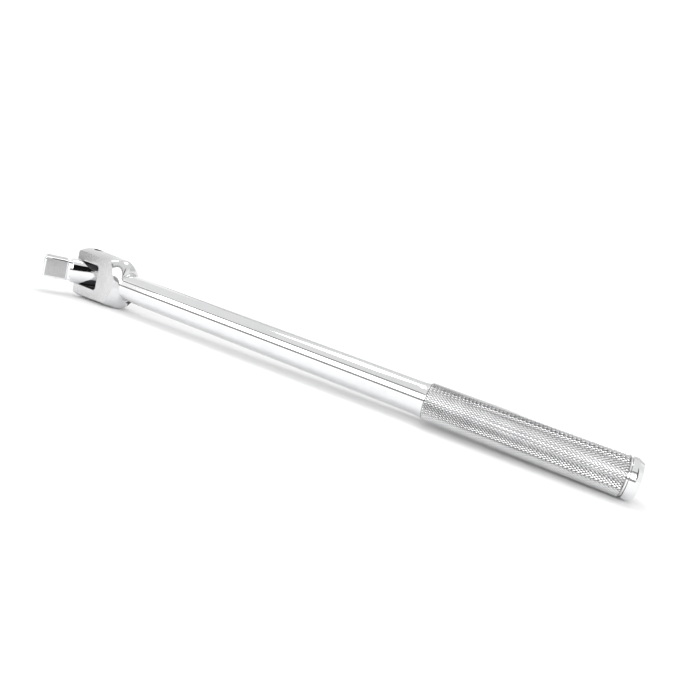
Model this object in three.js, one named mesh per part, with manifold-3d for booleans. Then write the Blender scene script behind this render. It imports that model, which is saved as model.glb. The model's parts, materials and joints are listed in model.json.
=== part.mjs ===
// Half-inch flex-head breaker bar: a one-piece forged bar with a forked head, and a drive tang that swings
// on a pin through the fork. Millimetres. +X runs along the bar towards the end of the grip, +Z along the
// pivot pin. The origin is the centre of the grip's flat end face.
import * as THREE from "three";
import { mergeVertices } from "three/addons/utils/BufferGeometryUtils.js";
import Module from "manifold-3d";

const wasm = await Module();
wasm.setup();

// Bar, measured along X from the pivot pin's axis
const PIVOT_TO_END = 327;
const SHANK_RADIUS = 8.3;
const GRIP_RADIUS = 9.4;
const FLARE_START = 228.6;
const GRIP_START = 233.6;
const FLARE_STEP = 0.3;
const GROOVE_START = 321.6;
const GROOVE_WIDTH = 0.9;
const GROOVE_DEPTH = 0.7;
const END_CHAMFER_LENGTH = 2.2;
const END_CHAMFER_DEPTH = 1.1;

// Forked head: a turned blank that narrows behind the pivot, with two flat sides and an open slot in front
const EAR_REACH = 6.8;
const EAR_RADIUS = 16.2;
const HEEL_RADIUS = 15.7;
const HALF_THICKNESS = 8.4;
const EAR_CORNER = 0.8;
const SHOULDER_START = 24.5;
const SHOULDER_REACH = 7.3;
const SHOULDER_DROP = 7.4;
const SHOULDER_TOE = 8.9;
const NARROW_START = 20;
const NARROW_RUN = 3.6;
const SLOT_HALF_WIDTH = 7.9;
const SLOT_ROOT = 12.6;
const SLOT_CORNER = 2.0;

// Drive tang, measured along its own axis from the pivot pin's axis
const SQUARE = 12.7;
const SQUARE_CORNER = 1.1;
const TANG_TIP = 28.8;
const TIP_CHAMFER = 0.9;
const BODY_RADIUS = 8.1;
const BODY_END = 13.0;
const COLLAR_END = 14.5;
const COLLAR_RADIUS = 6.9;
const TONGUE_HALF_THICKNESS = 7.6;
const REST_SWING = THREE.MathUtils.degToRad(55);

// Pivot pin
const PIN_RADIUS = 2.75;
const PIN_INSET = 2.0;
const EAR_HOLE_CLEARANCE = 0.1;
const TONGUE_HOLE_CLEARANCE = 0.15;

// Detent ball in the -Z face of the square
const BALL_FROM_TIP = 7.6;
const BALL_RADIUS = 2.4;
const BALL_PROUD = 1.2;
const BALL_HOLE_RADIUS = 2.6;
const BALL_HOLE_DEPTH = 9.4;
const BALL_LIP_RADIUS = 2.25;
const BALL_LIP_DEPTH = 0.5;
const DETENT_COIL = { wire: 0.3, radius: 1.7, turns: 4 };

// Tension plunger and spring in the bar, behind the slot root
const PLUNGER_BORE_RADIUS = 3.8;
const PLUNGER_BORE_END = 36;
const PLUNGER_RADIUS = 3.6;
const PLUNGER_LENGTH = 14;
const PLUNGER_SPIGOT_RADIUS = 1.6;
const PLUNGER_SPIGOT_LENGTH = 4;
const TENSION_COIL = { wire: 0.45, radius: 2.7, turns: 5 };

const TOUCH_GAP = 0.3;

const FINE = 64;
const MEDIUM = 40;
const COARSE = 24;

const CHROME = { color: 0xd9dcdf, roughness: 0.12, metalness: 1 };
const SATIN_CHROME = { color: 0xc4c7ca, roughness: 0.35, metalness: 1 };
const PIN_STEEL = { color: 0x8d9196, roughness: 0.4, metalness: 1 };
const BALL_STEEL = { color: 0xd5d8db, roughness: 0.1, metalness: 1 };
const SPRING_STEEL = { color: 0x6f7276, roughness: 0.45, metalness: 1 };

// Solids and meshes ------------------------------------------------------------------------------------

// A closed geometry as a solid: only positions, shared corners merged, collapsed triangles dropped.
function solidOf(geometry) {
  const bare = geometry.clone();
  bare.deleteAttribute("normal");
  bare.deleteAttribute("uv");
  const merged = mergeVertices(bare, 1e-4);
  const corners = merged.index.array;
  const kept = [];
  for (let i = 0; i < corners.length; i += 3) {
    const [a, b, c] = [corners[i], corners[i + 1], corners[i + 2]];
    if (a !== b && b !== c && c !== a) {
      kept.push(a, b, c);
    }
  }
  const build = (triangles) => new wasm.Manifold(new wasm.Mesh({
    numProp: 3,
    vertProperties: new Float32Array(merged.attributes.position.array),
    triVerts: new Uint32Array(triangles),
  }));
  const solid = build(kept);
  return solid.volume() > 0 ? solid : build(kept.reverse());
}

function geometryOf(solid) {
  const mesh = solid.getMesh();
  const geometry = new THREE.BufferGeometry();
  geometry.setAttribute("position", new THREE.BufferAttribute(new Float32Array(mesh.vertProperties), 3));
  geometry.setIndex(new THREE.BufferAttribute(new Uint32Array(mesh.triVerts), 1));
  geometry.computeVertexNormals();
  return geometry;
}

function part(name, solid, finish) {
  const mesh = new THREE.Mesh(geometryOf(solid), new THREE.MeshStandardMaterial(finish));
  mesh.name = name;
  return mesh;
}

// A profile of [x, radius] points turned around the X axis.
function turnedAlongX(profile, segments) {
  const points = profile.map(([x, radius]) => new THREE.Vector2(radius, x));
  return new THREE.LatheGeometry(points, segments).rotateZ(-Math.PI / 2);
}

// A profile of [z, radius] points turned around the Z axis.
function turnedAlongZ(profile, segments) {
  const points = profile.map(([z, radius]) => new THREE.Vector2(radius, z));
  return new THREE.LatheGeometry(points, segments).rotateX(Math.PI / 2);
}

function rodAlongZ(radius, from, to, segments) {
  return turnedAlongZ([[from, 0], [from, radius], [to, radius], [to, 0]], segments);
}

// A shape drawn in X and Y, carried from z = -half to z = half.
function plateAlongZ(shape, half, segments) {
  const settings = { depth: 2 * half, bevelEnabled: false, curveSegments: segments };
  return new THREE.ExtrudeGeometry(shape, settings).translate(0, 0, -half);
}

// A shape drawn in X and Z, carried from y = -half to y = half.
function plateAlongY(shape, half, segments) {
  return plateAlongZ(shape, half, segments).rotateX(Math.PI / 2);
}

function roundedRectangle(left, right, bottom, top, corner) {
  const shape = new THREE.Shape();
  shape.moveTo(left + corner, bottom);
  shape.lineTo(right - corner, bottom);
  shape.absarc(right - corner, bottom + corner, corner, -Math.PI / 2, 0);
  shape.lineTo(right, top - corner);
  shape.absarc(right - corner, top - corner, corner, 0, Math.PI / 2);
  shape.lineTo(left + corner, top);
  shape.absarc(left + corner, top - corner, corner, Math.PI / 2, Math.PI);
  shape.lineTo(left, bottom + corner);
  shape.absarc(left + corner, bottom + corner, corner, Math.PI, 1.5 * Math.PI);
  return shape;
}

// A helix of round wire along the Z axis, with both of its ends cut square.
class Helix extends THREE.Curve {
  constructor(radius, turns, from, to) {
    super();
    this.radius = radius;
    this.turns = turns;
    this.from = from;
    this.to = to;
  }

  getPoint(t, target = new THREE.Vector3()) {
    const angle = 2 * Math.PI * this.turns * t;
    const z = this.from + (this.to - this.from) * t;
    return target.set(this.radius * Math.cos(angle), this.radius * Math.sin(angle), z);
  }
}

function coilAlongZ({ wire, radius, turns }, from, to) {
  const section = new THREE.Shape().absarc(0, 0, wire, 0, 2 * Math.PI);
  const path = new Helix(radius, turns, from + wire, to - wire);
  const settings = { steps: turns * 14, curveSegments: 3, extrudePath: path, bevelEnabled: false };
  return new THREE.ExtrudeGeometry(section, settings);
}

// Handle bar -------------------------------------------------------------------------------------------

// The head's outline seen from the side: ears, a straight heel, the rounded shoulder and the neck.
function headProfile() {
  const front = -EAR_REACH - 2;
  const points = [[front, 0], [front, EAR_RADIUS], [0, EAR_RADIUS], [NARROW_START, HEEL_RADIUS]];
  const heelSteps = 6;
  for (let i = 1; i <= heelSteps; i += 1) {
    points.push([NARROW_START + (SHOULDER_START - NARROW_START) * (i / heelSteps), HEEL_RADIUS]);
  }
  const centre = HEEL_RADIUS - SHOULDER_DROP;
  const last = Math.asin((SHOULDER_TOE - centre) / SHOULDER_DROP);
  const steps = 12;
  for (let i = 1; i <= steps; i += 1) {
    const angle = Math.PI / 2 + (last - Math.PI / 2) * (i / steps);
    const x = SHOULDER_START + SHOULDER_REACH * Math.cos(angle);
    points.push([x, centre + SHOULDER_DROP * Math.sin(angle)]);
  }
  const neck = SHOULDER_START + SHOULDER_REACH + 0.9;
  points.push([neck, SHANK_RADIUS - 0.2], [neck, 0]);
  return points;
}

// The head's half-width across the flat sides: round at the ears, drawn in to the flats before the neck.
function headHalfWidth(x) {
  const past = Math.max(0, x - NARROW_START) / NARROW_RUN;
  return HALF_THICKNESS + (EAR_RADIUS - HALF_THICKNESS) * Math.exp(-(past ** 2));
}

// The turned outline squeezed along Y, so that each section is an ellipse of the wanted half-width.
function headBlank() {
  const geometry = turnedAlongX(headProfile(), FINE);
  const position = geometry.attributes.position;
  const radiusAt = new Map(headProfile().map(([x, radius]) => [x.toFixed(3), radius]));
  for (let i = 0; i < position.count; i += 1) {
    const x = position.getX(i);
    const radius = radiusAt.get(x.toFixed(3));
    if (radius > 0) {
      position.setY(i, position.getY(i) * Math.min(1, headHalfWidth(x) / radius));
    }
  }
  return geometry;
}

// The hollow flare that lifts the shank to just under the knurl.
function flareProfile() {
  const rise = GRIP_RADIUS - FLARE_STEP - SHANK_RADIUS;
  const run = GRIP_START - FLARE_START;
  const points = [];
  for (let i = 0; i <= 4; i += 1) {
    points.push([FLARE_START + run * (i / 4), SHANK_RADIUS + rise * (i / 4) ** 2]);
  }
  return points;
}

function shankProfile() {
  const grooveEnd = GROOVE_START + GROOVE_WIDTH;
  const groove = GRIP_RADIUS - GROOVE_DEPTH;
  const start = SLOT_ROOT + SLOT_CORNER;
  return [
    [start, 0],
    [start, SHANK_RADIUS],
    ...flareProfile(),
    [GRIP_START + 0.05, GRIP_RADIUS],
    [GROOVE_START, GRIP_RADIUS],
    [GROOVE_START + 0.1, groove],
    [grooveEnd - 0.1, groove],
    [grooveEnd, GRIP_RADIUS],
    [PIVOT_TO_END - END_CHAMFER_LENGTH, GRIP_RADIUS],
    [PIVOT_TO_END, GRIP_RADIUS - END_CHAMFER_DEPTH],
    [PIVOT_TO_END, 0],
  ];
}

// The open slot between the ears, seen from the side, with rounded corners at its root.
function slotOutline() {
  return roundedRectangle(-3 * EAR_REACH, SLOT_ROOT, -SLOT_HALF_WIDTH, SLOT_HALF_WIDTH, SLOT_CORNER);
}

function plungerBore() {
  const point = PLUNGER_BORE_END + 0.6 * PLUNGER_BORE_RADIUS;
  const mouth = SLOT_ROOT - 2;
  return turnedAlongX([
    [mouth, 0], [mouth, PLUNGER_BORE_RADIUS], [PLUNGER_BORE_END, PLUNGER_BORE_RADIUS], [point, 0],
  ], MEDIUM);
}

function makeHandleBar() {
  const reach = EAR_RADIUS + 4;
  const outline = roundedRectangle(-EAR_REACH, SHOULDER_START + 2 * SHOULDER_REACH,
    -EAR_RADIUS, EAR_RADIUS, EAR_CORNER);
  const thickness = solidOf(plateAlongY(outline, HALF_THICKNESS, 4));
  const slot = solidOf(plateAlongY(slotOutline(), reach, 6));
  const pinHole = solidOf(rodAlongZ(PIN_RADIUS + EAR_HOLE_CLEARANCE, -reach, reach, MEDIUM));
  return solidOf(headBlank())
    .intersect(thickness)
    .add(solidOf(turnedAlongX(shankProfile(), FINE)))
    .subtract(slot)
    .subtract(pinHole)
    .subtract(solidOf(plungerBore()));
}

// Drive tang -------------------------------------------------------------------------------------------

// The round body, from the collar's bevel at -X to past the pin, where its heel is rounded about the pin's
// axis so that it clears the slot's root at every swing.
function makeBody() {
  const bar = solidOf(turnedAlongX([
    [-COLLAR_END, 0],
    [-COLLAR_END, COLLAR_RADIUS],
    [-BODY_END, BODY_RADIUS],
    [2 * BODY_RADIUS, BODY_RADIUS],
    [2 * BODY_RADIUS, 0],
  ], FINE));
  const heel = roundedRectangle(-2 * TANG_TIP, BODY_RADIUS, -BODY_RADIUS, BODY_RADIUS, BODY_RADIUS);
  return bar.intersect(solidOf(plateAlongZ(heel, EAR_RADIUS, 24)));
}

// The square with rounded long edges and a bevel around its tip.
function makeSquare() {
  const half = SQUARE / 2;
  const section = roundedRectangle(-half, half, -half, half, SQUARE_CORNER);
  const settings = {
    depth: TANG_TIP - TIP_CHAMFER - COLLAR_END + 2,
    bevelEnabled: true,
    bevelThickness: TIP_CHAMFER,
    bevelSize: TIP_CHAMFER,
    bevelOffset: -TIP_CHAMFER,
    bevelSegments: 2,
    curveSegments: 4,
  };
  const square = new THREE.ExtrudeGeometry(section, settings).rotateY(-Math.PI / 2);
  return square.translate(-COLLAR_END + 2, 0, 0);
}

// The ball's blind hole, opening through the square's -Z face past a lip that is smaller than the ball.
function ballHole() {
  const face = -SQUARE / 2;
  return turnedAlongZ([
    [face - 1, 0],
    [face - 1, BALL_LIP_RADIUS],
    [face, BALL_LIP_RADIUS],
    [face + BALL_LIP_DEPTH, BALL_HOLE_RADIUS],
    [face + BALL_HOLE_DEPTH, BALL_HOLE_RADIUS],
    [face + BALL_HOLE_DEPTH, 0],
  ], COARSE).translate(-TANG_TIP + BALL_FROM_TIP, 0, 0);
}

function makeDriveTang() {
  const reach = EAR_RADIUS;
  const flats = roundedRectangle(-2 * TANG_TIP, TANG_TIP, -TONGUE_HALF_THICKNESS, TONGUE_HALF_THICKNESS, 1);
  return makeBody()
    .add(solidOf(makeSquare()))
    .intersect(solidOf(plateAlongY(flats, reach, 2)))
    .subtract(solidOf(rodAlongZ(PIN_RADIUS + TONGUE_HOLE_CLEARANCE, -reach, reach, MEDIUM)))
    .subtract(solidOf(ballHole()));
}

// Small pieces -----------------------------------------------------------------------------------------

function makePivotPin() {
  const half = EAR_RADIUS - PIN_INSET;
  const bevel = 0.4;
  return solidOf(turnedAlongZ([
    [-half, 0],
    [-half, PIN_RADIUS - bevel],
    [-half + bevel, PIN_RADIUS],
    [half - bevel, PIN_RADIUS],
    [half, PIN_RADIUS - bevel],
    [half, 0],
  ], MEDIUM));
}

const BALL_CENTRE_Z = -SQUARE / 2 - BALL_PROUD + BALL_RADIUS;

function makeDetentBall() {
  return solidOf(new THREE.SphereGeometry(BALL_RADIUS, COARSE, 14)
    .rotateX(Math.PI / 2)
    .translate(-TANG_TIP + BALL_FROM_TIP, 0, BALL_CENTRE_Z));
}

function makeDetentSpring() {
  const from = BALL_CENTRE_Z + BALL_RADIUS;
  const to = -SQUARE / 2 + BALL_HOLE_DEPTH - TOUCH_GAP;
  return solidOf(coilAlongZ(DETENT_COIL, from, to).translate(-TANG_TIP + BALL_FROM_TIP, 0, 0));
}

const PLUNGER_NOSE = BODY_RADIUS + TOUCH_GAP;
const PLUNGER_SEAT = PLUNGER_NOSE + PLUNGER_LENGTH;

// A domed nose, a straight guide and a thin spigot that centres the spring.
function makeTensionPlunger() {
  const profile = [];
  for (let i = 0; i <= 6; i += 1) {
    const angle = (Math.PI / 2) * (i / 6);
    profile.push([PLUNGER_NOSE + PLUNGER_RADIUS * (1 - Math.cos(angle)), PLUNGER_RADIUS * Math.sin(angle)]);
  }
  profile.push(
    [PLUNGER_SEAT, PLUNGER_RADIUS],
    [PLUNGER_SEAT, PLUNGER_SPIGOT_RADIUS],
    [PLUNGER_SEAT + PLUNGER_SPIGOT_LENGTH, PLUNGER_SPIGOT_RADIUS],
    [PLUNGER_SEAT + PLUNGER_SPIGOT_LENGTH, 0],
  );
  return solidOf(turnedAlongX(profile, COARSE));
}

function makeTensionSpring() {
  const from = PLUNGER_SEAT + TOUCH_GAP;
  const to = PLUNGER_BORE_END - TOUCH_GAP / 2;
  return solidOf(coilAlongZ(TENSION_COIL, from, to).rotateY(Math.PI / 2));
}

// Assembly ---------------------------------------------------------------------------------------------

const bar = new THREE.Group();
bar.add(
  part("handle_bar", makeHandleBar(), CHROME),
  part("pivot_pin", makePivotPin(), PIN_STEEL),
  part("tension_plunger", makeTensionPlunger(), BALL_STEEL),
  part("tension_spring", makeTensionSpring(), SPRING_STEEL),
);

// Straight, the tang points along -X. It rests swung about the pin towards -Y.
const head = new THREE.Group();
head.rotation.z = REST_SWING;
head.add(
  part("drive_tang", makeDriveTang(), SATIN_CHROME),
  part("detent_ball", makeDetentBall(), BALL_STEEL),
  part("detent_spring", makeDetentSpring(), SPRING_STEEL),
);

const breakerBar = new THREE.Group();
breakerBar.position.x = -PIVOT_TO_END;
breakerBar.add(bar, head);
breakerBar.updateMatrixWorld(true);

export default breakerBar;
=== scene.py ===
"""Half-inch flex-head breaker bar: finished pieces, metals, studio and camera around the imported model.

Metres throughout. +X runs along the bar towards the end of the grip, +Z along the pivot pin, and the
origin is the centre of the grip's flat end face.
"""

import json
import logging
import math
from collections.abc import Callable
from dataclasses import dataclass
from enum import Enum
from itertools import pairwise

import bpy
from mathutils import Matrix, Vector

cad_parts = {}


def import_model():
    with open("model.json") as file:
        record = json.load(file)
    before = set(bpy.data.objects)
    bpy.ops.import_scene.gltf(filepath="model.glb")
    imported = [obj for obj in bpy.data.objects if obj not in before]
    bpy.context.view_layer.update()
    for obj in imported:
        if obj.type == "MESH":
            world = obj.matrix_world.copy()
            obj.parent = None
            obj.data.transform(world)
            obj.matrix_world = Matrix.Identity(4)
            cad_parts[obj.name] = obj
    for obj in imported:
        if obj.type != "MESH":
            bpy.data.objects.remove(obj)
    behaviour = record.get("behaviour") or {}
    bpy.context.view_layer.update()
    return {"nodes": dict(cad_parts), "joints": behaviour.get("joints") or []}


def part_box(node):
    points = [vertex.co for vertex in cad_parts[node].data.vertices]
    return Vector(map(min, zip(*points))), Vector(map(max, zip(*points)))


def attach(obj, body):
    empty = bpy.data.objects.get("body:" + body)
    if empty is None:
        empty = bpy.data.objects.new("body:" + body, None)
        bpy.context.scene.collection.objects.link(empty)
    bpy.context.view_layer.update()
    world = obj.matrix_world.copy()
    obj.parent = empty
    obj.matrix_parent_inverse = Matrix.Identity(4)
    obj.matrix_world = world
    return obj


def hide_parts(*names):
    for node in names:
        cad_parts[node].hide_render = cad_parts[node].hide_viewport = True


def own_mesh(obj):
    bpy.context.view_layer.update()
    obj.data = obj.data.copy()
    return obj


LOG = logging.getLogger("breaker_bar")
MM = 0.001

Object = bpy.types.Object
Material = bpy.types.Material
Point = tuple[float, float, float]
Profile = list[tuple[float, float]]
MeshPart = bpy.types.MeshVertex | bpy.types.MeshEdge | bpy.types.MeshPolygon


# Shader building ----------

# Numbers of a colour Mix node's sockets: its number and vector sockets have the same names.
MIX_SHARE = 0
MIX_FIRST = 6
MIX_SECOND = 7
MIX_RESULT = 2
NOISE_ROUGHNESS = 0.6


class Value:
    """A number in a shader: it wraps an output socket, and arithmetic on it adds Math nodes."""

    def __init__(self, shader: "NodeTree", socket: bpy.types.NodeSocket) -> None:
        """Keep the shader that owns the socket."""
        self.shader = shader
        self.socket = socket

    def _math(self, operation: str, first: "Value | float", second: "Value | float") -> "Value":
        """Add one Math node.

        Args:
            operation: The Math node's operation.
            first: Its first number or value.
            second: Its second number or value.

        Returns:
            The node's result.
        """
        node = self.shader.node("ShaderNodeMath", {"operation": operation}, {0: first, 1: second})
        return Value(self.shader, node.outputs[0])

    def __add__(self, other: "Value | float") -> "Value":
        """Sum."""
        return self._math("ADD", self, other)

    def __radd__(self, other: float) -> "Value":
        """Sum with a number on the left."""
        return self._math("ADD", other, self)

    def __sub__(self, other: "Value | float") -> "Value":
        """Difference."""
        return self._math("SUBTRACT", self, other)

    def __rsub__(self, other: float) -> "Value":
        """Difference from a number on the left."""
        return self._math("SUBTRACT", other, self)

    def __mul__(self, other: "Value | float") -> "Value":
        """Product."""
        return self._math("MULTIPLY", self, other)

    def between(self, low: float, high: float) -> "Value":
        """Ramp this value smoothly from 0 at low to 1 at high.

        Args:
            low: Where the ramp starts.
            high: Where it ends.

        Returns:
            A value from 0 to 1.
        """
        settings = {"interpolation_type": "SMOOTHSTEP", "clamp": True}
        node = self.shader.node("ShaderNodeMapRange", settings, {0: self, 1: low, 2: high, 3: 0.0, 4: 1.0})
        return Value(self.shader, node.outputs[0])


class NodeTree:
    """A node tree that is built from Python expressions."""

    def __init__(self, tree: bpy.types.NodeTree) -> None:
        """Take over a tree and empty it."""
        self.tree = tree
        self.tree.nodes.clear()

    def node(self, kind: str, settings: dict, inputs: dict) -> bpy.types.Node:
        """Add a node, set it up, then fill its sockets.

        Args:
            kind: The node's type.
            settings: Its own settings, by name.
            inputs: What goes into its sockets, as for fill.

        Returns:
            The new node.
        """
        node = self.tree.nodes.new(kind)
        for setting, choice in settings.items():
            setattr(node, setting, choice)
        self.fill(node, inputs)
        return node

    def fill(self, node: bpy.types.Node, inputs: dict) -> None:
        """Fill a node's sockets.

        Args:
            node: The node.
            inputs: Its sockets by name or number, each given a number, a colour or a link.
        """
        for socket, content in inputs.items():
            if isinstance(content, Value):
                content = content.socket
            if isinstance(content, bpy.types.NodeSocket):
                self.tree.links.new(content, node.inputs[socket])
            else:
                node.inputs[socket].default_value = content


class Shader(NodeTree):
    """The node tree of one surface."""

    def __init__(self, name: str) -> None:
        """Start a material that holds only an output and a Principled shader."""
        self.material = bpy.data.materials.new(name)
        self.material.use_nodes = True
        super().__init__(self.material.node_tree)
        self.surface = self.node("ShaderNodeBsdfPrincipled", {}, {})
        self.node("ShaderNodeOutputMaterial", {}, {"Surface": self.surface.outputs[0]})

    def place(self, stretch: Point, turn: float) -> bpy.types.NodeSocket:
        """Object coordinates, turned about Z and then stretched.

        Args:
            stretch: Scale along each axis.
            turn: Turn about Z, in radians.

        Returns:
            The coordinates.
        """
        source = self.node("ShaderNodeTexCoord", {}, {}).outputs["Object"]
        turned = self.node("ShaderNodeMapping", {}, {"Vector": source, "Rotation": (0.0, 0.0, turn)})
        scaled = self.node("ShaderNodeMapping", {}, {"Vector": turned.outputs[0], "Scale": stretch})
        return scaled.outputs[0]

    def noise(self, where: bpy.types.NodeSocket, scale: float, detail: float) -> Value:
        """Cloudy noise from 0 to 1.

        Args:
            where: Its coordinates.
            scale: Clouds in a metre.
            detail: Octaves of finer noise.

        Returns:
            The noise.
        """
        inputs = {"Vector": where, "Scale": scale, "Detail": detail, "Roughness": NOISE_ROUGHNESS}
        return Value(self, self.node("ShaderNodeTexNoise", {}, inputs).outputs[0])

    def blend(self, share: Value, first: Point | bpy.types.NodeSocket, second: Point) -> bpy.types.NodeSocket:
        """Mix two colours.

        Args:
            share: How much of the second colour shows.
            first: The first colour, or a link to it.
            second: The second colour.

        Returns:
            The mixed colour.
        """
        if not isinstance(first, bpy.types.NodeSocket):
            first = (*first, 1.0)
        inputs = {MIX_SHARE: share, MIX_FIRST: first, MIX_SECOND: (*second, 1.0)}
        return self.node("ShaderNodeMix", {"data_type": "RGBA"}, inputs).outputs[MIX_RESULT]

    def axis_distance(self) -> Value:
        """Distance from the bar's axis, in metres."""
        flat = self.place((0.0, 1.0, 1.0), 0.0)
        length = self.node("ShaderNodeVectorMath", {"operation": "LENGTH"}, {0: flat})
        return Value(self, length.outputs["Value"])


class Grain(Enum):
    """How the finishing marks of a metal lie, as the stretch of their pattern."""

    ALONG_BAR = (0.06, 1.0, 1.0)
    ACROSS_BAR = (1.0, 1.0, 0.08)
    EVEN = (1.0, 1.0, 1.0)


# The patterns in every finish. The ramps say between which values of the noise a mark starts to show.
MARK_OCTAVES = 6.0
MARK_TONE_RAMP = (0.35, 0.75)
MARK_POLISH_RAMP = (0.3, 0.75)
HAIRLINE_TURN = 0.35
HAIRLINE_FINENESS = 2.3
HAIRLINE_OCTAVES = 2.0
HAIRLINE_RAMP = (0.66, 0.72)
HANDLING_PER_METRE = 95.0
HANDLING_OCTAVES = 3.0
HANDLING_RAMP = (0.42, 0.78)
HANDLING_IN_TONE = 0.6
MARKS_IN_TONE = 0.4
MARKS_IN_POLISH = 0.45
HANDLING_IN_POLISH = 0.35
SCRATCHES_IN_POLISH = 0.2
SCRATCHES_IN_HEIGHT = 0.35


@dataclass(frozen=True)
class MetalFinish:
    """One worked metal surface: two close tones, polish that comes and goes, and fine finishing marks."""

    name: str
    bright: Point
    dull: Point
    smoothest: float
    roughest: float
    grain: Grain
    marks_per_metre: float
    mark_depth: float
    turn: float = 0.0
    metallic: float = 1.0

    def shader(self) -> Shader:
        """Build the finish's node tree, with its material."""
        shader = Shader(self.name)
        still = shader.place(Grain.EVEN.value, self.turn)
        grained = shader.place(self.grain.value, self.turn)
        skewed = shader.place(self.grain.value, self.turn + HAIRLINE_TURN)
        marks = shader.noise(grained, self.marks_per_metre, MARK_OCTAVES)
        hairlines = shader.noise(skewed, self.marks_per_metre * HAIRLINE_FINENESS, HAIRLINE_OCTAVES)
        handling = shader.noise(still, HANDLING_PER_METRE, HANDLING_OCTAVES).between(*HANDLING_RAMP)
        scratches = hairlines.between(*HAIRLINE_RAMP)
        tone = handling * HANDLING_IN_TONE + marks.between(*MARK_TONE_RAMP) * MARKS_IN_TONE
        self.colour(shader, tone)
        polish = marks.between(*MARK_POLISH_RAMP) * MARKS_IN_POLISH
        polish = polish + handling * HANDLING_IN_POLISH + scratches * SCRATCHES_IN_POLISH
        rough = polish * (self.roughest - self.smoothest) + self.smoothest
        height = marks - scratches * SCRATCHES_IN_HEIGHT
        inputs = {"Strength": 1.0, "Distance": self.mark_depth, "Height": height}
        bump = shader.node("ShaderNodeBump", {}, inputs).outputs[0]
        shader.fill(shader.surface, {"Metallic": self.metallic, "Roughness": rough, "Normal": bump})
        return shader

    def colour(self, shader: Shader, tone: Value) -> None:
        """Link the base colour.

        Args:
            shader: The tree to link in.
            tone: Where the duller tone shows.
        """
        shader.fill(shader.surface, {"Base Color": shader.blend(tone, self.bright, self.dull)})

    def material(self) -> Material:
        """Build the finish's material."""
        return self.shader().material


@dataclass(frozen=True)
class KnurlFinish(MetalFinish):
    """Bright plate over a knurl, darkened towards its valleys, more in some patches than in others."""

    crest: float = 9.4 * MM
    valley: float = 9.1 * MM
    # The colour that the knurl's valleys are darkened towards, by their depth and in cloudy patches.
    valley_tone: Point = (0.16, 0.155, 0.15)
    patches_per_metre: float = 140.0
    patch_octaves: float = 3.0
    patch_ramp: tuple[float, float] = (0.3, 0.7)
    least_valley_tone: float = 0.58
    patch_valley_tone: float = 0.32

    def colour(self, shader: Shader, tone: Value) -> None:
        """Link the base colour, darkened towards the valleys.

        Args:
            shader: The tree to link in.
            tone: Where the duller tone shows.
        """
        plate = shader.blend(tone, self.bright, self.dull)
        middle = (self.crest + self.valley) / 2
        depth = 1 - shader.axis_distance().between(self.valley, middle)
        cloud = shader.noise(shader.place(Grain.EVEN.value, 0.0), self.patches_per_metre, self.patch_octaves)
        valley_share = self.least_valley_tone + cloud.between(*self.patch_ramp) * self.patch_valley_tone
        shader.fill(shader.surface, {"Base Color": shader.blend(depth * valley_share, plate, self.valley_tone)})


REST_SWING = math.radians(55.0)

MIRROR_CHROME = MetalFinish(
    "mirror_chrome", (0.86, 0.865, 0.87), (0.80, 0.805, 0.81), 0.035, 0.11, Grain.ALONG_BAR, 2600.0,
    0.0000006)
SATIN_CHROME = MetalFinish(
    "satin_chrome", (0.68, 0.68, 0.685), (0.58, 0.58, 0.585), 0.24, 0.40, Grain.ACROSS_BAR, 5200.0, 0.0000045)
# Painted light: the slot's walls are pale and partly matt, so that they catch diffuse light and look brighter
# than plated walls deep in the slot would.
SLOT_PAINTED_LIGHT = MetalFinish(
    "slot_chrome", (0.88, 0.88, 0.88), (0.78, 0.78, 0.785), 0.3, 0.5, Grain.ACROSS_BAR, 4200.0, 0.000004,
    metallic=0.35)
SHOULDER_CHROME = MetalFinish(
    "shoulder_chrome", (0.77, 0.775, 0.78), (0.68, 0.685, 0.69), 0.12, 0.26, Grain.EVEN, 1500.0, 0.0000025)
TANG_MIRROR = MetalFinish(
    "tang_mirror", (0.85, 0.855, 0.86), (0.79, 0.795, 0.80), 0.03, 0.09, Grain.ALONG_BAR, 2600.0, 0.0000005,
    -REST_SWING)
TANG_SATIN = MetalFinish(
    "tang_satin", (0.48, 0.48, 0.485), (0.33, 0.33, 0.335), 0.26, 0.42, Grain.ACROSS_BAR, 5200.0, 0.0000045,
    -REST_SWING)
GRIP_CHROME = KnurlFinish(
    "grip_chrome", (0.79, 0.795, 0.80), (0.68, 0.685, 0.69), 0.08, 0.2, Grain.EVEN, 2400.0, 0.000002)
PIN_STEEL = MetalFinish(
    "pin_steel", (0.52, 0.525, 0.535), (0.38, 0.385, 0.39), 0.22, 0.42, Grain.EVEN, 3800.0, 0.000004)
# Painted shade: near-black steel for the walls of the fork's pin hole, which paints in the shade that falls
# deep in the hole.
BORE_PAINTED_SHADE = MetalFinish(
    "bore_steel", (0.10, 0.10, 0.105), (0.05, 0.05, 0.052), 0.35, 0.55, Grain.EVEN, 3800.0, 0.000004)
BALL_STEEL = MetalFinish(
    "ball_steel", (0.80, 0.805, 0.81), (0.70, 0.705, 0.71), 0.05, 0.14, Grain.EVEN, 2400.0, 0.000001)
PLUNGER_STEEL = MetalFinish(
    "plunger_steel", (0.56, 0.565, 0.57), (0.43, 0.435, 0.44), 0.2, 0.38, Grain.ACROSS_BAR, 4200.0, 0.000003)
SPRING_STEEL = MetalFinish(
    "spring_steel", (0.40, 0.405, 0.41), (0.27, 0.275, 0.28), 0.28, 0.5, Grain.EVEN, 5200.0, 0.000003)


# Modelling ----------

# Vertices closer than this become one, after each kind of work.
SPIN_WELD = 0.002 * MM
CUT_WELD = 0.0001 * MM
COIL_WELD = 0.001 * MM
# A direction or a normal whose share along an axis is over this lies along the axis.
PARALLEL = 0.99
# Degrees between two faces from which their edge is sharp.
SHARP_ANGLE = 28.0
DRILL_SIDES = 64


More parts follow.
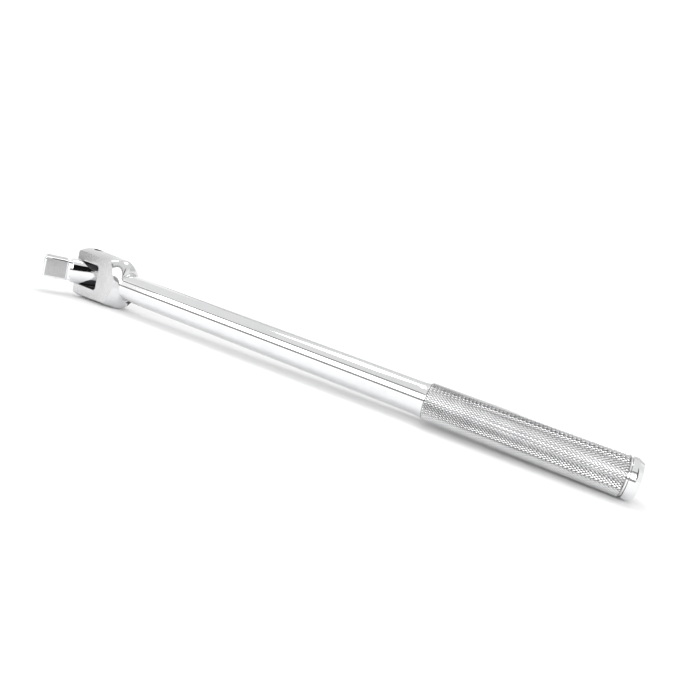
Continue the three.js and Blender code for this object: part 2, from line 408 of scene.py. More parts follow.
class Bench:
    """The modelling moves that the pieces share."""

    @staticmethod
    def clear() -> None:
        """Deselect every object."""
        bpy.ops.object.select_all(action="DESELECT")

    @staticmethod
    def pick(piece: Object) -> None:
        """Make this piece the only selected one, and the active one."""
        Bench.clear()
        piece.select_set(True)
        bpy.context.view_layer.objects.active = piece

    @staticmethod
    def take(name: str) -> Object:
        """Name the primitive that was just added, and bake its place into its mesh."""
        piece = bpy.context.object
        piece.name = name
        bpy.ops.object.transform_apply(location=True, rotation=True, scale=True)
        return piece

    @staticmethod
    def turned(name: str, profile: Profile, segments: int) -> Object:
        """Draw a profile point by point and spin it about the X axis into a closed solid.

        Args:
            name: The piece's name.
            profile: Its (x, radius) points, from the axis back to the axis.
            segments: Faces around the axis.

        Returns:
            The turned piece.
        """
        Bench.clear()
        x, radius = profile[0]
        bpy.ops.mesh.primitive_plane_add(size=MM, location=(x, 0.0, radius))
        piece = Bench.take(name)
        bpy.ops.object.mode_set(mode="EDIT")
        bpy.ops.mesh.select_mode(type="VERT")
        bpy.ops.mesh.select_all(action="SELECT")
        bpy.ops.mesh.merge(type="CENTER")
        for (x0, r0), (x1, r1) in pairwise(profile):
            bpy.ops.mesh.extrude_vertices_move(TRANSFORM_OT_translate={"value": (x1 - x0, 0.0, r1 - r0)})
        bpy.ops.mesh.select_all(action="SELECT")
        bpy.ops.mesh.spin(steps=segments, angle=2 * math.pi, center=(0.0, 0.0, 0.0), axis=(1.0, 0.0, 0.0))
        bpy.ops.mesh.select_all(action="SELECT")
        bpy.ops.mesh.remove_doubles(threshold=SPIN_WELD)
        bpy.ops.mesh.normals_make_consistent(inside=False)
        bpy.ops.object.mode_set(mode="OBJECT")
        return piece

    @staticmethod
    def block(name: str, low: Point, high: Point) -> Object:
        """Add a box between two corners.

        Args:
            name: The piece's name.
            low: Its lowest corner.
            high: Its highest corner.

        Returns:
            The box, with its place in its mesh.
        """
        Bench.clear()
        middle = [(a + b) / 2 for a, b in zip(low, high)]
        span = [b - a for a, b in zip(low, high)]
        bpy.ops.mesh.primitive_cube_add(size=1.0, location=middle, scale=span)
        return Bench.take(name)

    @staticmethod
    def upright_rod(name: str, centre: Point, radius: float, length: float, sides: int) -> Object:
        """Add a cylinder along Z.

        Args:
            name: The piece's name.
            centre: Its middle.
            radius: Its radius.
            length: Its length.
            sides: Faces around it.

        Returns:
            The cylinder, with its place in its mesh.
        """
        Bench.clear()
        bpy.ops.mesh.primitive_cylinder_add(vertices=sides, radius=radius, depth=length, location=centre)
        return Bench.take(name)

    @staticmethod
    def choose(piece: Object, kind: str, wanted: Callable[[MeshPart], bool]) -> None:
        """Enter edit mode with only the wanted parts of a mesh selected.

        Args:
            piece: The piece, already the active one.
            kind: VERT, EDGE or FACE.
            wanted: Says whether a vertex, edge or face is wanted.
        """
        bpy.ops.object.mode_set(mode="EDIT")
        bpy.ops.mesh.select_mode(type=kind)
        bpy.ops.mesh.select_all(action="DESELECT")
        bpy.ops.object.mode_set(mode="OBJECT")
        parts = {"VERT": piece.data.vertices, "EDGE": piece.data.edges, "FACE": piece.data.polygons}
        for part in parts[kind]:
            part.select = wanted(part)
        bpy.ops.object.mode_set(mode="EDIT")

    @staticmethod
    def runs_along(piece: Object, edge: bpy.types.MeshEdge, axis: int) -> bool:
        """Say whether an edge of a piece runs along an axis, 0, 1 or 2 for X, Y or Z."""
        vertices = piece.data.vertices
        run = vertices[edge.vertices[1]].co - vertices[edge.vertices[0]].co
        return abs(run[axis]) > PARALLEL * run.length

    @staticmethod
    def round_box(piece: Object, width: float, segments: int, axes: tuple[int, ...] = (0, 1, 2)) -> None:
        """Round the edges of a box that run along the given axes.

        Args:
            piece: The box.
            width: The rounding's radius.
            segments: Faces across it.
            axes: 0, 1 and 2 for X, Y and Z.
        """
        Bench.pick(piece)
        Bench.choose(piece, "EDGE", lambda edge: any(Bench.runs_along(piece, edge, axis) for axis in axes))
        bpy.ops.mesh.bevel(offset=width, segments=segments, affect="EDGES")
        bpy.ops.object.mode_set(mode="OBJECT")

    @staticmethod
    def combine(piece: Object, tool: Object, operation: str) -> None:
        """Cut a tool out of a piece, or join it on, and throw the tool away.

        Args:
            piece: The piece that stays.
            tool: The piece that is used up.
            operation: The Boolean modifier's operation.
        """
        Bench.pick(piece)
        modifier = piece.modifiers.new("combine", "BOOLEAN")
        modifier.operation = operation
        modifier.solver = "EXACT"
        modifier.object = tool
        bpy.ops.object.modifier_apply(modifier=modifier.name)
        bpy.data.objects.remove(tool)

    @staticmethod
    def cut_flat(piece: Object, at: Point, facing: Point) -> None:
        """Saw a piece along a plane, drop what is in front of the plane and close the cut.

        Args:
            piece: The piece.
            at: A point of the plane.
            facing: The side that is dropped.
        """
        Bench.pick(piece)
        bpy.ops.object.mode_set(mode="EDIT")
        bpy.ops.mesh.select_all(action="SELECT")
        bpy.ops.mesh.bisect(
            plane_co=at, plane_no=facing, use_fill=True, clear_outer=True, threshold=CUT_WELD)
        bpy.ops.object.mode_set(mode="OBJECT")

    @staticmethod
    def soften(piece: Object, width: float, angle: float = SHARP_ANGLE) -> None:
        """Break the sharp edges as polishing does, and shade the rest smoothly.

        Args:
            piece: The piece.
            width: The broken edge's width.
            angle: Edges sharper than this, in degrees, are broken.
        """
        Bench.pick(piece)
        bpy.ops.object.shade_smooth_by_angle(angle=math.radians(angle))
        bevel = piece.modifiers.new("break_edges", "BEVEL")
        bevel.width = width
        bevel.segments = 3
        bevel.limit_method = "ANGLE"
        bevel.angle_limit = math.radians(angle)
        bevel.harden_normals = True
        bevel.use_clamp_overlap = True
        bpy.ops.object.modifier_apply(modifier=bevel.name)

    @staticmethod
    def settle(piece: Object, place: Point, turn: float) -> None:
        """Turn a piece about Z, move it and bake both into its mesh.

        Args:
            piece: The piece.
            place: Where its origin goes.
            turn: The turn about Z, in radians.
        """
        Bench.pick(piece)
        piece.rotation_euler = (0.0, 0.0, turn)
        piece.location = place
        bpy.ops.object.transform_apply(location=True, rotation=True, scale=True)

    @staticmethod
    def dress(piece: Object, *finishes: Material) -> None:
        """Give a piece these materials and no others."""
        piece.data.materials.clear()
        for finish in finishes:
            piece.data.materials.append(finish)


def spread(low: float, high: float, steps: int) -> list[float]:
    """Evenly spaced numbers from low to high.

    Args:
        low: The first one.
        high: The last one.
        steps: Gaps between them.

    Returns:
        The numbers, one more than the gaps.
    """
    return [low + (high - low) * (i / steps) for i in range(steps + 1)]


def arc(
    centre: tuple[float, float], reach: float, drop: float, start: float, end: float, steps: int
) -> Profile:
    """Points along part of an ellipse, for a profile.

    Args:
        centre: Its centre, as (x, radius).
        reach: Its half-width along X.
        drop: Its half-height.
        start: The first point's angle in degrees, from +X.
        end: The last point's angle.
        steps: Gaps between the points.

    Returns:
        The points.
    """
    angles = [math.radians(degrees) for degrees in spread(start, end, steps)]
    return [(centre[0] + reach * math.cos(angle), centre[1] + drop * math.sin(angle)) for angle in angles]


# Handle bar ----------


@dataclass
class ForkHead:
    """The forked head: a turned blank drawn in to two flat sides, and slotted for the tang.

    It is drilled for the pin, and bored from the slot's root for the plunger.
    """

    pivot: float
    ear_reach: float = 6.8 * MM
    ear_radius: float = 16.15 * MM
    heel_radius: float = 15.65 * MM
    half_thickness: float = 8.4 * MM
    ear_corner: float = 1.7 * MM
    shoulder_start: float = 24.5 * MM
    shoulder_reach: float = 7.3 * MM
    shoulder_drop: float = 7.35 * MM
    neck_radius: float = 8.25 * MM
    neck_fillet: float = 1.5 * MM
    flank: float = 8.38 * MM
    narrow_start: float = 20.0 * MM
    narrow_run: float = 3.6 * MM
    slot_half_width: float = 7.9 * MM
    slot_root: float = 12.6 * MM
    slot_corner: float = 2.0 * MM
    pin_hole: float = 2.85 * MM
    plunger_bore: float = 3.8 * MM
    broken_edge: float = 0.28 * MM
    cutter_reach: float = 30.0 * MM
    bore_lead: float = 2.0 * MM
    tail_run: float = 1.0 * MM
    tail_drop: float = 0.1 * MM
    shoulder_arc: tuple[float, float] = (86.0, 14.0)
    corner_steps: int = 6
    heel_steps: int = 14
    shoulder_steps: int = 20
    slot_corner_steps: int = 8
    segments: int = 160

    def half_width(self, x: float) -> float:
        """How far the head reaches to each side: round at the ears, drawn in to the flats before the neck."""
        past = max(0.0, x - self.narrow_start) / self.narrow_run
        return self.flank + (self.ear_radius - self.flank) * math.exp(-past * past)

    def outline(self) -> Profile:
        """The blank's profile, as (x, radius) points measured from the pivot."""
        corner = self.ear_corner
        front = -self.ear_reach
        ear_centre = (front + corner, self.ear_radius - corner)
        ear = arc(ear_centre, corner, corner, 180.0, 90.0, self.corner_steps)
        stations = spread(self.narrow_start, self.shoulder_start, self.heel_steps)
        heel = [(x, self.heel_radius) for x in stations]
        centre = (self.shoulder_start, self.heel_radius - self.shoulder_drop)
        shoulder = arc(
            centre, self.shoulder_reach, self.shoulder_drop, *self.shoulder_arc, self.shoulder_steps)
        last_x, last_radius = shoulder[-1]
        neck = (last_x + self.neck_fillet, last_radius)
        fillet = arc(
            neck, self.neck_fillet, last_radius - self.neck_radius, 180.0, 270.0, self.corner_steps)
        tail = neck[0] + self.tail_run
        return [
            (front, 0.0), *ear, (0.0, self.ear_radius), *heel, *shoulder, *fillet[1:],
            (tail, self.neck_radius - self.tail_drop), (tail, 0.0),
        ]

    def squeeze(self, piece: Object, profile: Profile) -> None:
        """Draw each ring of the blank in along Y, so that its section is an ellipse.

        Args:
            piece: The blank.
            profile: The profile it was turned from.
        """
        still_round = 0.999
        ring_slack = 0.004 * MM
        Bench.pick(piece)
        for x, radius in profile:
            if radius <= 0.0 or x < self.narrow_start:
                continue
            ratio = min(1.0, self.half_width(x) / radius)
            if ratio > still_round:
                continue
            Bench.choose(piece, "VERT", lambda vertex, ring=x: abs(vertex.co.x - ring) < ring_slack)
            bpy.ops.transform.resize(value=(1.0, ratio, 1.0), center_override=(x, 0.0, 0.0))
            bpy.ops.object.mode_set(mode="OBJECT")

    def build(self) -> Object:
        """Model the head."""
        profile = self.outline()
        head = Bench.turned("fork_head", profile, self.segments)
        self.squeeze(head, profile)
        for side in (-1.0, 1.0):
            Bench.cut_flat(head, (0.0, side * self.half_thickness, 0.0), (0.0, side, 0.0))
        reach = self.cutter_reach
        low = (-reach, -reach, -self.slot_half_width)
        slot = Bench.block("slot_cutter", low, (self.slot_root, reach, self.slot_half_width))
        Bench.round_box(slot, self.slot_corner, self.slot_corner_steps)
        Bench.combine(head, slot, "DIFFERENCE")
        drill = Bench.upright_rod("pin_drill", (0.0, 0.0, 0.0), self.pin_hole, 3 * reach, DRILL_SIDES)
        Bench.combine(head, drill, "DIFFERENCE")
        mouth = self.slot_root - self.bore_lead
        bore = Bench.turned("plunger_drill", [
            (mouth, 0.0), (mouth, self.plunger_bore), (2 * reach, self.plunger_bore), (2 * reach, 0.0),
        ], DRILL_SIDES)
        Bench.combine(head, bore, "DIFFERENCE")
        Bench.soften(head, self.broken_edge)
        Bench.settle(head, (self.pivot, 0.0, 0.0), 0.0)
        self.dress(head)
        return head

    def dress(self, head: Object) -> None:
        """Satin on the milled sides and the ears, bright plate behind them, pale and partly matt walls in the
        slot as painted light, and near-black walls in the pin hole as painted shade.

        Args:
            head: The head, in its place.
        """
        finishes = (SHOULDER_CHROME, SATIN_CHROME, SLOT_PAINTED_LIGHT, BORE_PAINTED_SHADE)
        shoulder, satin, slot, hole = range(len(finishes))
        Bench.dress(head, *(finish.material() for finish in finishes))
        facing_side = 0.995
        outermost = 0.99 * self.half_thickness
        slack = 0.1 * MM
        hole_slack = 0.02 * MM
        for face in head.data.polygons:
            x, y, z = face.center.x - self.pivot, face.center.y, face.center.z
            milled = abs(face.normal.y) > facing_side and abs(y) > outermost
            in_slot = x < self.slot_root + slack and abs(z) < self.slot_half_width + slack and not milled
            # Painted shade: the pin hole's walls get the near-black finish.
            if math.hypot(x, y) < self.pin_hole + hole_slack:
                face.material_index = hole
            # Painted light: the slot's walls get the pale, partly matt finish.
            elif in_slot:
                face.material_index = slot
            else:
                face.material_index = satin if milled or x < self.narrow_start else shoulder


@dataclass
class Shank:
    """The plain round shank, from inside the head's neck to the hollow flare before the knurl.

    Its blind bore carries on the head's, and holds the plunger's spring.
    """

    pivot: float
    radius: float = 8.3 * MM
    start: float = 27.0 * MM
    flare_start: float = 228.6 * MM
    flare_end: float = 233.6 * MM
    flare_radius: float = 9.1 * MM
    bore_radius: float = 3.9 * MM
    bore_end: float = 36.0 * MM
    bore_point: float = 38.3 * MM
    rim_run: float = 0.3 * MM
    rim_drop: float = 0.15 * MM
    broken_edge: float = 0.08 * MM
    sharp_angle: float = 35.0
    body_steps: int = 12
    flare_steps: int = 14
    segments: int = 160

    def outline(self) -> Profile:
        """The shank's profile, as (x, radius) points measured from the pivot."""
        rise = self.flare_radius - self.radius
        run = self.flare_end - self.flare_start
        shares = spread(0.0, 1.0, self.flare_steps)
        flare = [(self.flare_start + run * share, self.radius + rise * share**2) for share in shares]
        stations = spread(self.start, self.flare_start, self.body_steps)
        body = [(x, self.radius) for x in stations[:-1]]
        rim = self.flare_end + self.rim_run
        bore = [(self.bore_point, 0.0), (self.bore_end, self.bore_radius), (self.start, self.bore_radius)]
        return [*bore, *body, *flare, (rim, self.flare_radius - self.rim_drop), (rim, 0.0)]

    def build(self) -> Object:
        """Model the shank."""
        shank = Bench.turned("shank", self.outline(), self.segments)
        Bench.soften(shank, self.broken_edge, self.sharp_angle)
        Bench.settle(shank, (self.pivot, 0.0, 0.0), 0.0)
        Bench.dress(shank, MIRROR_CHROME.material())
        return shank


@dataclass
class KnurledGrip:
    """The grip's diamond knurl: every diamond is a raised, flat-topped pyramid."""

    start: float
    end: float
    valley: float = 9.1 * MM
    height: float = 0.28 * MM
    diamonds_around: int = 48
    diamond_length: float = 1.76 * MM
    flank: float = 0.3 * MM
    end_margin: float = 0.01 * MM

    def build(self) -> Object:
        """Model the knurl."""
        length = self.end - self.start
        rows = round(length / self.diamond_length)
        Bench.clear()
        bpy.ops.mesh.primitive_cylinder_add(
            vertices=self.diamonds_around, radius=self.valley, depth=length, end_fill_type="NOTHING",
            location=((self.start + self.end) / 2, 0.0, 0.0), rotation=(0.0, math.pi / 2, 0.0))
        grip = Bench.take("knurled_grip")
        self.cut_rows(grip, rows)
        self.turn_to_diamonds(grip)
        self.raise_diamonds(grip)
        Bench.dress(grip, GRIP_CHROME.material())
        return grip

    def cut_rows(self, grip: Object, rows: int) -> None:
        """Divide the tube's side into rows of cells.

        Args:
            grip: The tube.
            rows: Cells along it.
        """
        Bench.choose(grip, "EDGE", lambda edge: Bench.runs_along(grip, edge, 0))
        bpy.ops.mesh.subdivide(number_cuts=rows - 1, quadcorner="STRAIGHT_CUT")
        bpy.ops.object.mode_set(mode="OBJECT")

    def turn_to_diamonds(self, grip: Object) -> None:
        """Poke every cell and dissolve its old edges, which leaves a diamond over each of them.

        Args:
            grip: The divided tube.
        """
        corners = len(grip.data.vertices)
        bpy.ops.object.mode_set(mode="EDIT")
        bpy.ops.mesh.select_mode(type="FACE")
        bpy.ops.mesh.select_all(action="SELECT")
        bpy.ops.mesh.poke()
        low = self.start + self.end_margin
        high = self.end - self.end_margin

        def old_edge(edge: bpy.types.MeshEdge) -> bool:
            """Say whether an edge is one of the tube's own, away from its ends."""
            first, second = edge.vertices
            middle = (grip.data.vertices[first].co.x + grip.data.vertices[second].co.x) / 2
            return max(first, second) < corners and low < middle < high

        Bench.choose(grip, "EDGE", old_edge)
        bpy.ops.mesh.dissolve_edges(use_verts=False)
        bpy.ops.object.mode_set(mode="OBJECT")

    def raise_diamonds(self, grip: Object) -> None:
        """Inset and raise every whole diamond, then close the tube's ends.

        Args:
            grip: The tube of diamonds.
        """
        diamond_corners = 4
        Bench.choose(grip, "FACE", lambda face: len(face.vertices) == diamond_corners)
        bpy.ops.mesh.inset(thickness=self.flank, depth=self.height, use_individual=True, use_even_offset=True)
        bpy.ops.mesh.select_mode(type="EDGE")
        bpy.ops.mesh.select_all(action="DESELECT")
        bpy.ops.mesh.select_non_manifold(extend=False)
        bpy.ops.mesh.fill_holes(sides=0)
        bpy.ops.mesh.select_all(action="SELECT")
        bpy.ops.mesh.normals_make_consistent(inside=False)
        bpy.ops.object.mode_set(mode="OBJECT")


@dataclass
class EndCollar:
    """The narrow groove behind the knurl, and the smooth collar with its bevelled end."""

    radius: float = 9.4 * MM
    groove_start: float = -5.4 * MM
    groove_end: float = -4.6 * MM
    groove_radius: float = 8.75 * MM
    bevel_start: float = -2.2 * MM
    end_radius: float = 8.3 * MM
    overlap: float = 0.4 * MM
    lip: float = 0.25 * MM
    broken_edge: float = 0.35 * MM
    sharp_angle: float = 20.0
    lip_steps: int = 5
    segments: int = 160

    def outline(self) -> Profile:
        """The collar's profile, as (x, radius) points."""
        front = self.groove_start - self.overlap
        lip = self.lip
        edge = arc((self.groove_end + lip, self.radius - lip), lip, lip, 180.0, 90.0, self.lip_steps)
        return [
            (front, 0.0), (front, self.groove_radius), (self.groove_end, self.groove_radius),
            *edge, (self.bevel_start, self.radius), (0.0, self.end_radius), (0.0, 0.0),
        ]

    def build(self) -> Object:
        """Model the collar."""
        collar = Bench.turned("end_collar", self.outline(), self.segments)
        Bench.soften(collar, self.broken_edge, self.sharp_angle)
        Bench.dress(collar, MIRROR_CHROME.material())
        return collar


# Drive tang ----------


@dataclass
class DriveTang:
    """The swinging tang: a half-inch square, a bevelled collar and a round body rounded off about the pin."""

    pivot: float
    swing: float = REST_SWING
    square: float = 12.7 * MM
    square_corner: float = 1.1 * MM
    tip: float = 28.78 * MM
    tip_bevel: float = 0.9 * MM
    relief: float = 0.8 * MM
    relief_depth: float = 0.35 * MM
    square_lap: float = 1.0 * MM
    body_lap: float = 2.0 * MM
    body_radius: float = 8.1 * MM
    body_end: float = 13.0 * MM
    collar_end: float = 14.5 * MM
    collar_radius: float = 6.9 * MM
    half_thickness: float = 7.6 * MM
    pin_hole: float = 2.9 * MM
    ball_from_tip: float = 7.6 * MM
    ball_hole: float = 2.3 * MM
    ball_hole_centre: float = -1.65 * MM
    ball_hole_length: float = 12.45 * MM
    ball_hole_sides: int = 48
    broken_edge: float = 0.3 * MM
    cutter_reach: float = 20.0 * MM
    corner_steps: int = 5
    tip_steps: int = 2
    segments: int = 128

    def build(self) -> Object:
        """Model the tang, straight, then swing it to rest.

        Returns:
            The tang.
        """
        front = -self.collar_end
        back = 2 * self.body_radius
        radius = self.body_radius
        tang = Bench.turned("drive_square_tang", [
            (front, 0.0), (front, self.collar_radius), (-self.body_end, radius), (back, radius), (back, 0.0),
        ], self.segments)
        self.round_heel(tang)
        half = self.square / 2
        square_end = front - self.relief
        square = Bench.block("square", (-self.tip, -half, -half), (square_end, half, half))
        Bench.round_box(square, self.square_corner, self.corner_steps)
        self.bevel_tip(square)
        core = half - self.relief_depth
        low = (square_end - self.square_lap, -core, -core)
        neck = Bench.block("relief", low, (front + self.body_lap, core, core))
        Bench.round_box(neck, self.square_corner, self.corner_steps, (0,))
        Bench.combine(tang, neck, "UNION")
        Bench.combine(tang, square, "UNION")
        for side in (-1.0, 1.0):
            Bench.cut_flat(tang, (0.0, 0.0, side * self.half_thickness), (0.0, 0.0, side))
        length = 3 * self.cutter_reach
        drill = Bench.upright_rod("pin_drill", (0.0, 0.0, 0.0), self.pin_hole, length, DRILL_SIDES)
        Bench.combine(tang, drill, "DIFFERENCE")
        place = (self.ball_from_tip - self.tip, 0.0, self.ball_hole_centre)
        pocket = Bench.upright_rod(
            "ball_drill", place, self.ball_hole, self.ball_hole_length, self.ball_hole_sides)
        Bench.combine(tang, pocket, "DIFFERENCE")
        Bench.soften(tang, self.broken_edge)
        self.dress(tang)
        Bench.settle(tang, (self.pivot, 0.0, 0.0), self.swing)
        return tang

    def round_heel(self, tang: Object) -> None:
        """Round the body's heel about the pin, so that it clears the slot's root at every swing.

        Args:
            tang: The turned body, still running straight past the pin.
        """
        height = self.cutter_reach
        heel = Bench.upright_rod("heel", (0.0, 0.0, 0.0), self.body_radius, 2 * height, self.segments)
        reach = 2 * self.tip
        front = Bench.block("front", (-reach, -reach, -height), (0.0, reach, height))
        Bench.combine(heel, front, "UNION")
        Bench.combine(tang, heel, "INTERSECT")

    def bevel_tip(self, square: Object) -> None:
        """Bevel the square around its tip.

        Args:
            square: The square, still on its own.
        """
        Bench.choose(square, "FACE", lambda face: face.normal.x < -PARALLEL)
        bpy.ops.mesh.bevel(offset=self.tip_bevel, segments=self.tip_steps, affect="EDGES")
        bpy.ops.object.mode_set(mode="OBJECT")

    def dress(self, tang: Object) -> None:
        """Satin on the square's ground faces, mirror on its rounded edges and on the turned body.

        Args:
            tang: The tang, still straight.
        """
        Bench.dress(tang, TANG_MIRROR.material(), TANG_SATIN.material())
        mirror, satin = range(2)
        relief_middle = -self.collar_end - self.relief / 2
        for face in tang.data.polygons:
            flat = max(abs(part) for part in face.normal) > PARALLEL
            face.material_index = satin if flat and face.center.x < relief_middle else mirror


# Small pieces ----------


@dataclass
class PivotPin:
    """The pressed pin through the fork, with slightly domed and bevelled ends."""

    pivot: float
    radius: float = 2.75 * MM
    half_length: float = 14.2 * MM
    dome_rise: tuple[float, float] = (0.1 * MM, 0.05 * MM)
    dome_inset: tuple[float, float] = (0.5 * MM, 0.9 * MM)
    broken_edge: float = 0.25 * MM
    sharp_angle: float = 40.0

    def build(self) -> Object:
        """Model the pin."""
        length = 2 * (self.half_length - sum(self.dome_rise))
        pin = Bench.upright_rod("pressed_pin", (self.pivot, 0.0, 0.0), self.radius, length, DRILL_SIDES)
        Bench.pick(pin)
        for side in (-1.0, 1.0):
            Bench.choose(pin, "FACE", lambda face, end=side: face.normal.z * end > PARALLEL)
            for depth, thickness in zip(self.dome_rise, self.dome_inset):
                bpy.ops.mesh.inset(thickness=thickness, depth=depth)
            bpy.ops.object.mode_set(mode="OBJECT")
        Bench.soften(pin, self.broken_edge, self.sharp_angle)
        Bench.dress(pin, PIN_STEEL.material())
        return pin


@dataclass
class DetentBall:
    """The steel ball that stands proud of the square's lower side."""

    node: str = "detent_ball"

    def build(self) -> Object:
        """Model the ball over its CAD body."""
        low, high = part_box(self.node)
        Bench.clear()
        radius = (high.z - low.z) / 2
        bpy.ops.mesh.primitive_ico_sphere_add(subdivisions=5, radius=radius, location=(low + high) / 2)
        ball = Bench.take("detent_bearing_ball")
        bpy.ops.object.shade_smooth()
        Bench.dress(ball, BALL_STEEL.material())
        return ball


@dataclass
class CoilSpring:
    """A compression spring of round wire.

    The wire's size is its radius.
    """

    node: str
    name: str
    joint: str
    travel: float
    axis: int
    turns: float
    wire: float
    steps_per_turn: int = 32
    wire_rounding: int = 3

    def build(self) -> Object:
        """Wind the spring inside its CAD body's box.

        Returns:
            The spring.
        """
        low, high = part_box(self.node)
        centre = (low + high) / 2
        side = 1 if self.axis == 0 else 0
        length = high[self.axis] - low[self.axis]
        radius = (high[side] - low[side]) / 2 - self.wire
        steps = round(self.turns * self.steps_per_turn)
        data = bpy.data.curves.new(self.name, "CURVE")
        data.dimensions = "3D"
        data.bevel_depth = self.wire
        data.bevel_resolution = self.wire_rounding
        data.use_fill_caps = True
        spline = data.splines.new("POLY")
        spline.points.add(steps)
        for point, share in zip(spline.points, spread(0.0, 1.0, steps)):
            angle = 2 * math.pi * self.turns * share
            along = (length - 2 * self.wire) * (share - 0.5)
            across = (radius * math.cos(angle), radius * math.sin(angle))
            turn = (along, *across) if self.axis == 0 else (*across, along)
            point.co = (*(centre + Vector(turn)), 1.0)
        Bench.clear()
        spring = bpy.data.objects.new(self.name, data)
        bpy.context.scene.collection.objects.link(spring)
        Bench.pick(spring)
        bpy.ops.object.convert(target="MESH")
        spring = bpy.context.object
        bpy.ops.object.mode_set(mode="EDIT")
        bpy.ops.mesh.select_all(action="SELECT")
        bpy.ops.mesh.remove_doubles(threshold=COIL_WELD)
        bpy.ops.mesh.normals_make_consistent(inside=False)
        bpy.ops.object.mode_set(mode="OBJECT")
        bpy.ops.object.shade_smooth()
        Bench.dress(spring, SPRING_STEEL.material())
        return spring

    def compress(self, spring: Object) -> None:
        """Give the finished spring a mesh of its own.

        Args:
            spring: The finished spring.
        """
        low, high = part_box(self.node)
        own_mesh(spring)


# Studio ----------


@dataclass
class Studio:
    """A white floor and sky, soft boxes, dark cards that draw the chrome's bands, and the camera.

    The bar lies on its head and on the thinner end of its grip, so the floor is tilted about Y.
    """

    pivot: float
    centre: Point = (-0.165, 0.0, 0.0)
    floor_low: float = -16.25 * MM
    floor_tilt: float = math.atan2(6.8, 325.0)
    floor_radius: float = 8.0
    floor_bright: Point = (0.86, 0.86, 0.865)
    floor_dull: Point = (0.88, 0.88, 0.88)
    floor_clouds: float = 6.0
    floor_octaves: float = 2.0
    floor_roughness: float = 0.75
    floor_gloss: float = 0.1
    eye: Point = (-0.04185, -0.23879, 0.05586)
    aim_degrees: Point = (79.659, -15.628, 25.064)
    lens: float = 26.35
    horizon_light: float = 1.05
    overhead_light: float = 0.85
    sky_change: tuple[float, float] = (0.5, 0.68)
    floor_glow: float = 0.35
    glow_reach: tuple[float, float] = (0.03, 0.45)

    def camera(self) -> None:
        """Set the camera at the chosen view."""
        data = bpy.data.cameras.new("view")
        data.lens = self.lens
        data.sensor_width = 36.0
        data.clip_start = 0.005
        data.clip_end = 20.0
        camera = bpy.data.objects.new("view", data)
        camera.location = self.eye
        camera.rotation_euler = [math.radians(turn) for turn in self.aim_degrees]
        bpy.context.scene.collection.objects.link(camera)
        bpy.context.scene.camera = camera

    def sky(self) -> None:
        """Surround the tool with light: white near the horizon, greyer overhead."""
        world = bpy.data.worlds.new("studio")
        world.use_nodes = True
        bpy.context.scene.world = world
        bpy.context.scene.view_settings.view_transform = "Standard"
        sky = NodeTree(world.node_tree)
        direction = sky.node("ShaderNodeTexCoord", {}, {}).outputs["Generated"]
        height = Value(sky, sky.node("ShaderNodeSeparateXYZ", {}, {0: direction}).outputs["Z"])
        overhead = height.between(*self.sky_change)
        strength = overhead * (self.overhead_light - self.horizon_light) + self.horizon_light
        light = sky.node("ShaderNodeBackground", {}, {"Color": (1.0, 1.0, 1.0, 1.0), "Strength": strength})
        sky.node("ShaderNodeOutputWorld", {}, {"Surface": light.outputs[0]})

    def floor(self) -> None:
        """Lay a wide pale floor under the tool, touching the head's heel and the end of the grip."""
        Bench.clear()
        bpy.ops.mesh.primitive_circle_add(vertices=96, radius=self.floor_radius, fill_type="NGON")
        floor = bpy.context.object
        floor.name = "studio_floor"
        self.lay(floor)
        shader = Shader("pale_floor")
        cloud = shader.noise(shader.place(Grain.EVEN.value, 0.0), self.floor_clouds, self.floor_octaves)
        away = shader.axis_distance().between(*self.glow_reach)
        shader.fill(shader.surface, {
            "Base Color": shader.blend(cloud, self.floor_bright, self.floor_dull),
            "Roughness": self.floor_roughness,
            "Specular IOR Level": self.floor_gloss,
            "Emission Color": shader.blend(away, (0.0, 0.0, 0.0), (1.0, 1.0, 1.0)),
            "Emission Strength": self.floor_glow,
        })
        Bench.dress(floor, shader.material)

    def floor_height(self, x: float) -> float:
        """Height of the floor under a point of the bar's axis."""
        return self.floor_low + (x - self.pivot) * math.tan(self.floor_tilt)

    def soft_box(
        self, name: str, at: Point, size: tuple[float, float], watts: float, mirrored: bool = True
    ) -> None:
        """Hang a soft box, facing the middle of the bar.

        Args:
            name: Its name.
            at: Where it hangs.
            size: Its width and height.
            watts: Its power.
            mirrored: Whether it shows in the chrome.
        """
        data = bpy.data.lights.new(name, "AREA")
        data.shape = "RECTANGLE"
        data.size, data.size_y = size
        data.energy = watts
        light = bpy.data.objects.new(name, data)
        light.location = at
        facing = Vector(self.centre) - Vector(at)
        light.rotation_euler = facing.to_track_quat("-Z", "Y").to_euler()
        light.visible_camera = False
        light.visible_glossy = mirrored
        bpy.context.scene.collection.objects.link(light)

    def lay(self, sheet: Object) -> None:
        """Lay a level sheet down on the tilted floor.

        Args:
            sheet: The sheet, modelled about the height zero.
        """
        sheet.rotation_euler = (0.0, -self.floor_tilt, 0.0)
        sheet.location = (0.0, 0.0, self.floor_height(0.0))
        Bench.pick(sheet)
        bpy.ops.object.transform_apply(location=True, rotation=True, scale=True)

    def card(self, name: str, low: Point, high: Point, grey: float, lying: bool = False) -> None:
        """Put a dark card where only the chrome sees it.

        Args:
            name: Its name.
            low: Its lowest corner.
            high: Its highest corner.
            grey: How light it is.
            lying: Whether its heights are counted from the floor.
        """
        card = Bench.block(name, low, high)
        if lying:
            self.lay(card)
        shader = Shader(name)
        matt = {"Base Color": (grey, grey, grey, 1.0), "Roughness": 1.0, "Specular IOR Level": 0.0}
        shader.fill(shader.surface, matt)
        Bench.dress(card, shader.material)
        card.visible_camera = False
        card.visible_diffuse = False
        card.visible_shadow = False

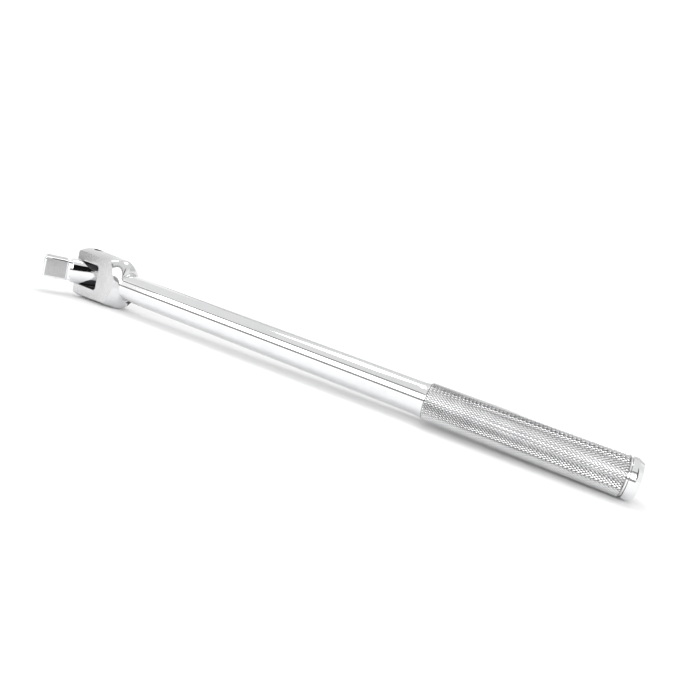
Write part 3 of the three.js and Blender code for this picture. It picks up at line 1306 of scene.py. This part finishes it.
    def build(self) -> None:
        """Set up the whole studio."""
        self.camera()
        self.sky()
        self.floor()
        self.soft_box("front_box", (-0.30, -0.80, 0.40), (1.5, 0.42), 3.8)
        self.soft_box("head_box", (-0.47, 0.17, 0.90), (0.40, 0.30), 1.0)
        self.soft_box("floor_box", (-0.15, 0.05, 0.80), (0.5, 0.5), 1.6, mirrored=False)
        self.card("camera_body", (-0.09, -0.34, 0.02), (0.0, -0.30, 0.10), 0.25)
        self.card("table_edge", (-1.3, -0.95, 0.0), (0.9, -0.94, 0.20), 0.25)
        self.card("box_frame", (-1.3, -0.61, 0.60), (0.9, -0.60, 0.76), 0.2)
        self.card("rear_card", (-0.8, 0.50, 0.20), (0.4, 0.51, 0.60), 0.5)
        self.card("head_card", (-0.47, -0.11, -0.012), (-0.43, -0.04, 0.07), 0.3)
        self.card("black_flag", (0.26, -0.50, 0.13), (0.42, -0.22, 1.30), 0.005)
        # Painted shadow: a dark sheet lying on the floor under the bar, seen only in the chrome, stands in
        # for the floor's shade there so that the bar's lower rims reflect it dark.
        self.card("floor_strip", (-0.34, 0.008, -0.0004), (0.0, 0.035, 0.0004), 0.1, lying=True)


# Assembly ----------


def keep(piece: Object, body: str, slot: str, *nodes: str) -> None:
    """Fasten a finished piece to its body and report it.

    Args:
        piece: The piece.
        body: The body it moves with.
        slot: The name of a material slot; not used.
        nodes: The CAD nodes it stands for.
    """
    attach(piece, body)
    if nodes:
        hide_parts(*nodes)
    LOG.info("%s: %d faces on %s", piece.name, len(piece.data.polygons), body)


def main() -> None:
    """Load the frame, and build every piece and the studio."""
    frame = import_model()
    Bench.clear()
    swivel = next(joint for joint in frame["joints"] if joint["name"] == "head_swivel")
    pivot = swivel["pos_m"][0]
    nodes = frame["nodes"]

    keep(ForkHead(pivot).build(), "handle", "bar_chrome", "handle_bar")
    shank = Shank(pivot)
    keep(shank.build(), "handle", "bar_chrome")
    collar = EndCollar()
    grip = KnurledGrip(pivot + shank.flare_end, collar.groove_start)
    keep(grip.build(), "handle", "bar_chrome")
    keep(collar.build(), "handle", "bar_chrome")
    keep(DriveTang(pivot).build(), "tang", "tang_chrome", "drive_tang")
    keep(PivotPin(pivot).build(), "handle", "pin_steel", "pivot_pin")
    keep(DetentBall().build(), "ball", "ball_steel", "detent_ball")
    Bench.dress(nodes["tension_plunger"], PLUNGER_STEEL.material())
    coils = {
        "handle": CoilSpring(
            "tension_spring", "plunger_coil", "plunger_press", travel=0.8 * MM, axis=0, turns=5.0,
            wire=0.45 * MM),
        "tang": CoilSpring(
            "detent_spring", "ball_coil", "ball_press", travel=1.1 * MM, axis=2, turns=4.0, wire=0.3 * MM),
    }
    for body, coil in coils.items():
        spring = coil.build()
        keep(spring, body, "spring_steel", coil.node)
        coil.compress(spring)

    Studio(pivot).build()


if __name__ == "__main__":
    logging.basicConfig(level=logging.INFO, format="%(message)s")
    main()
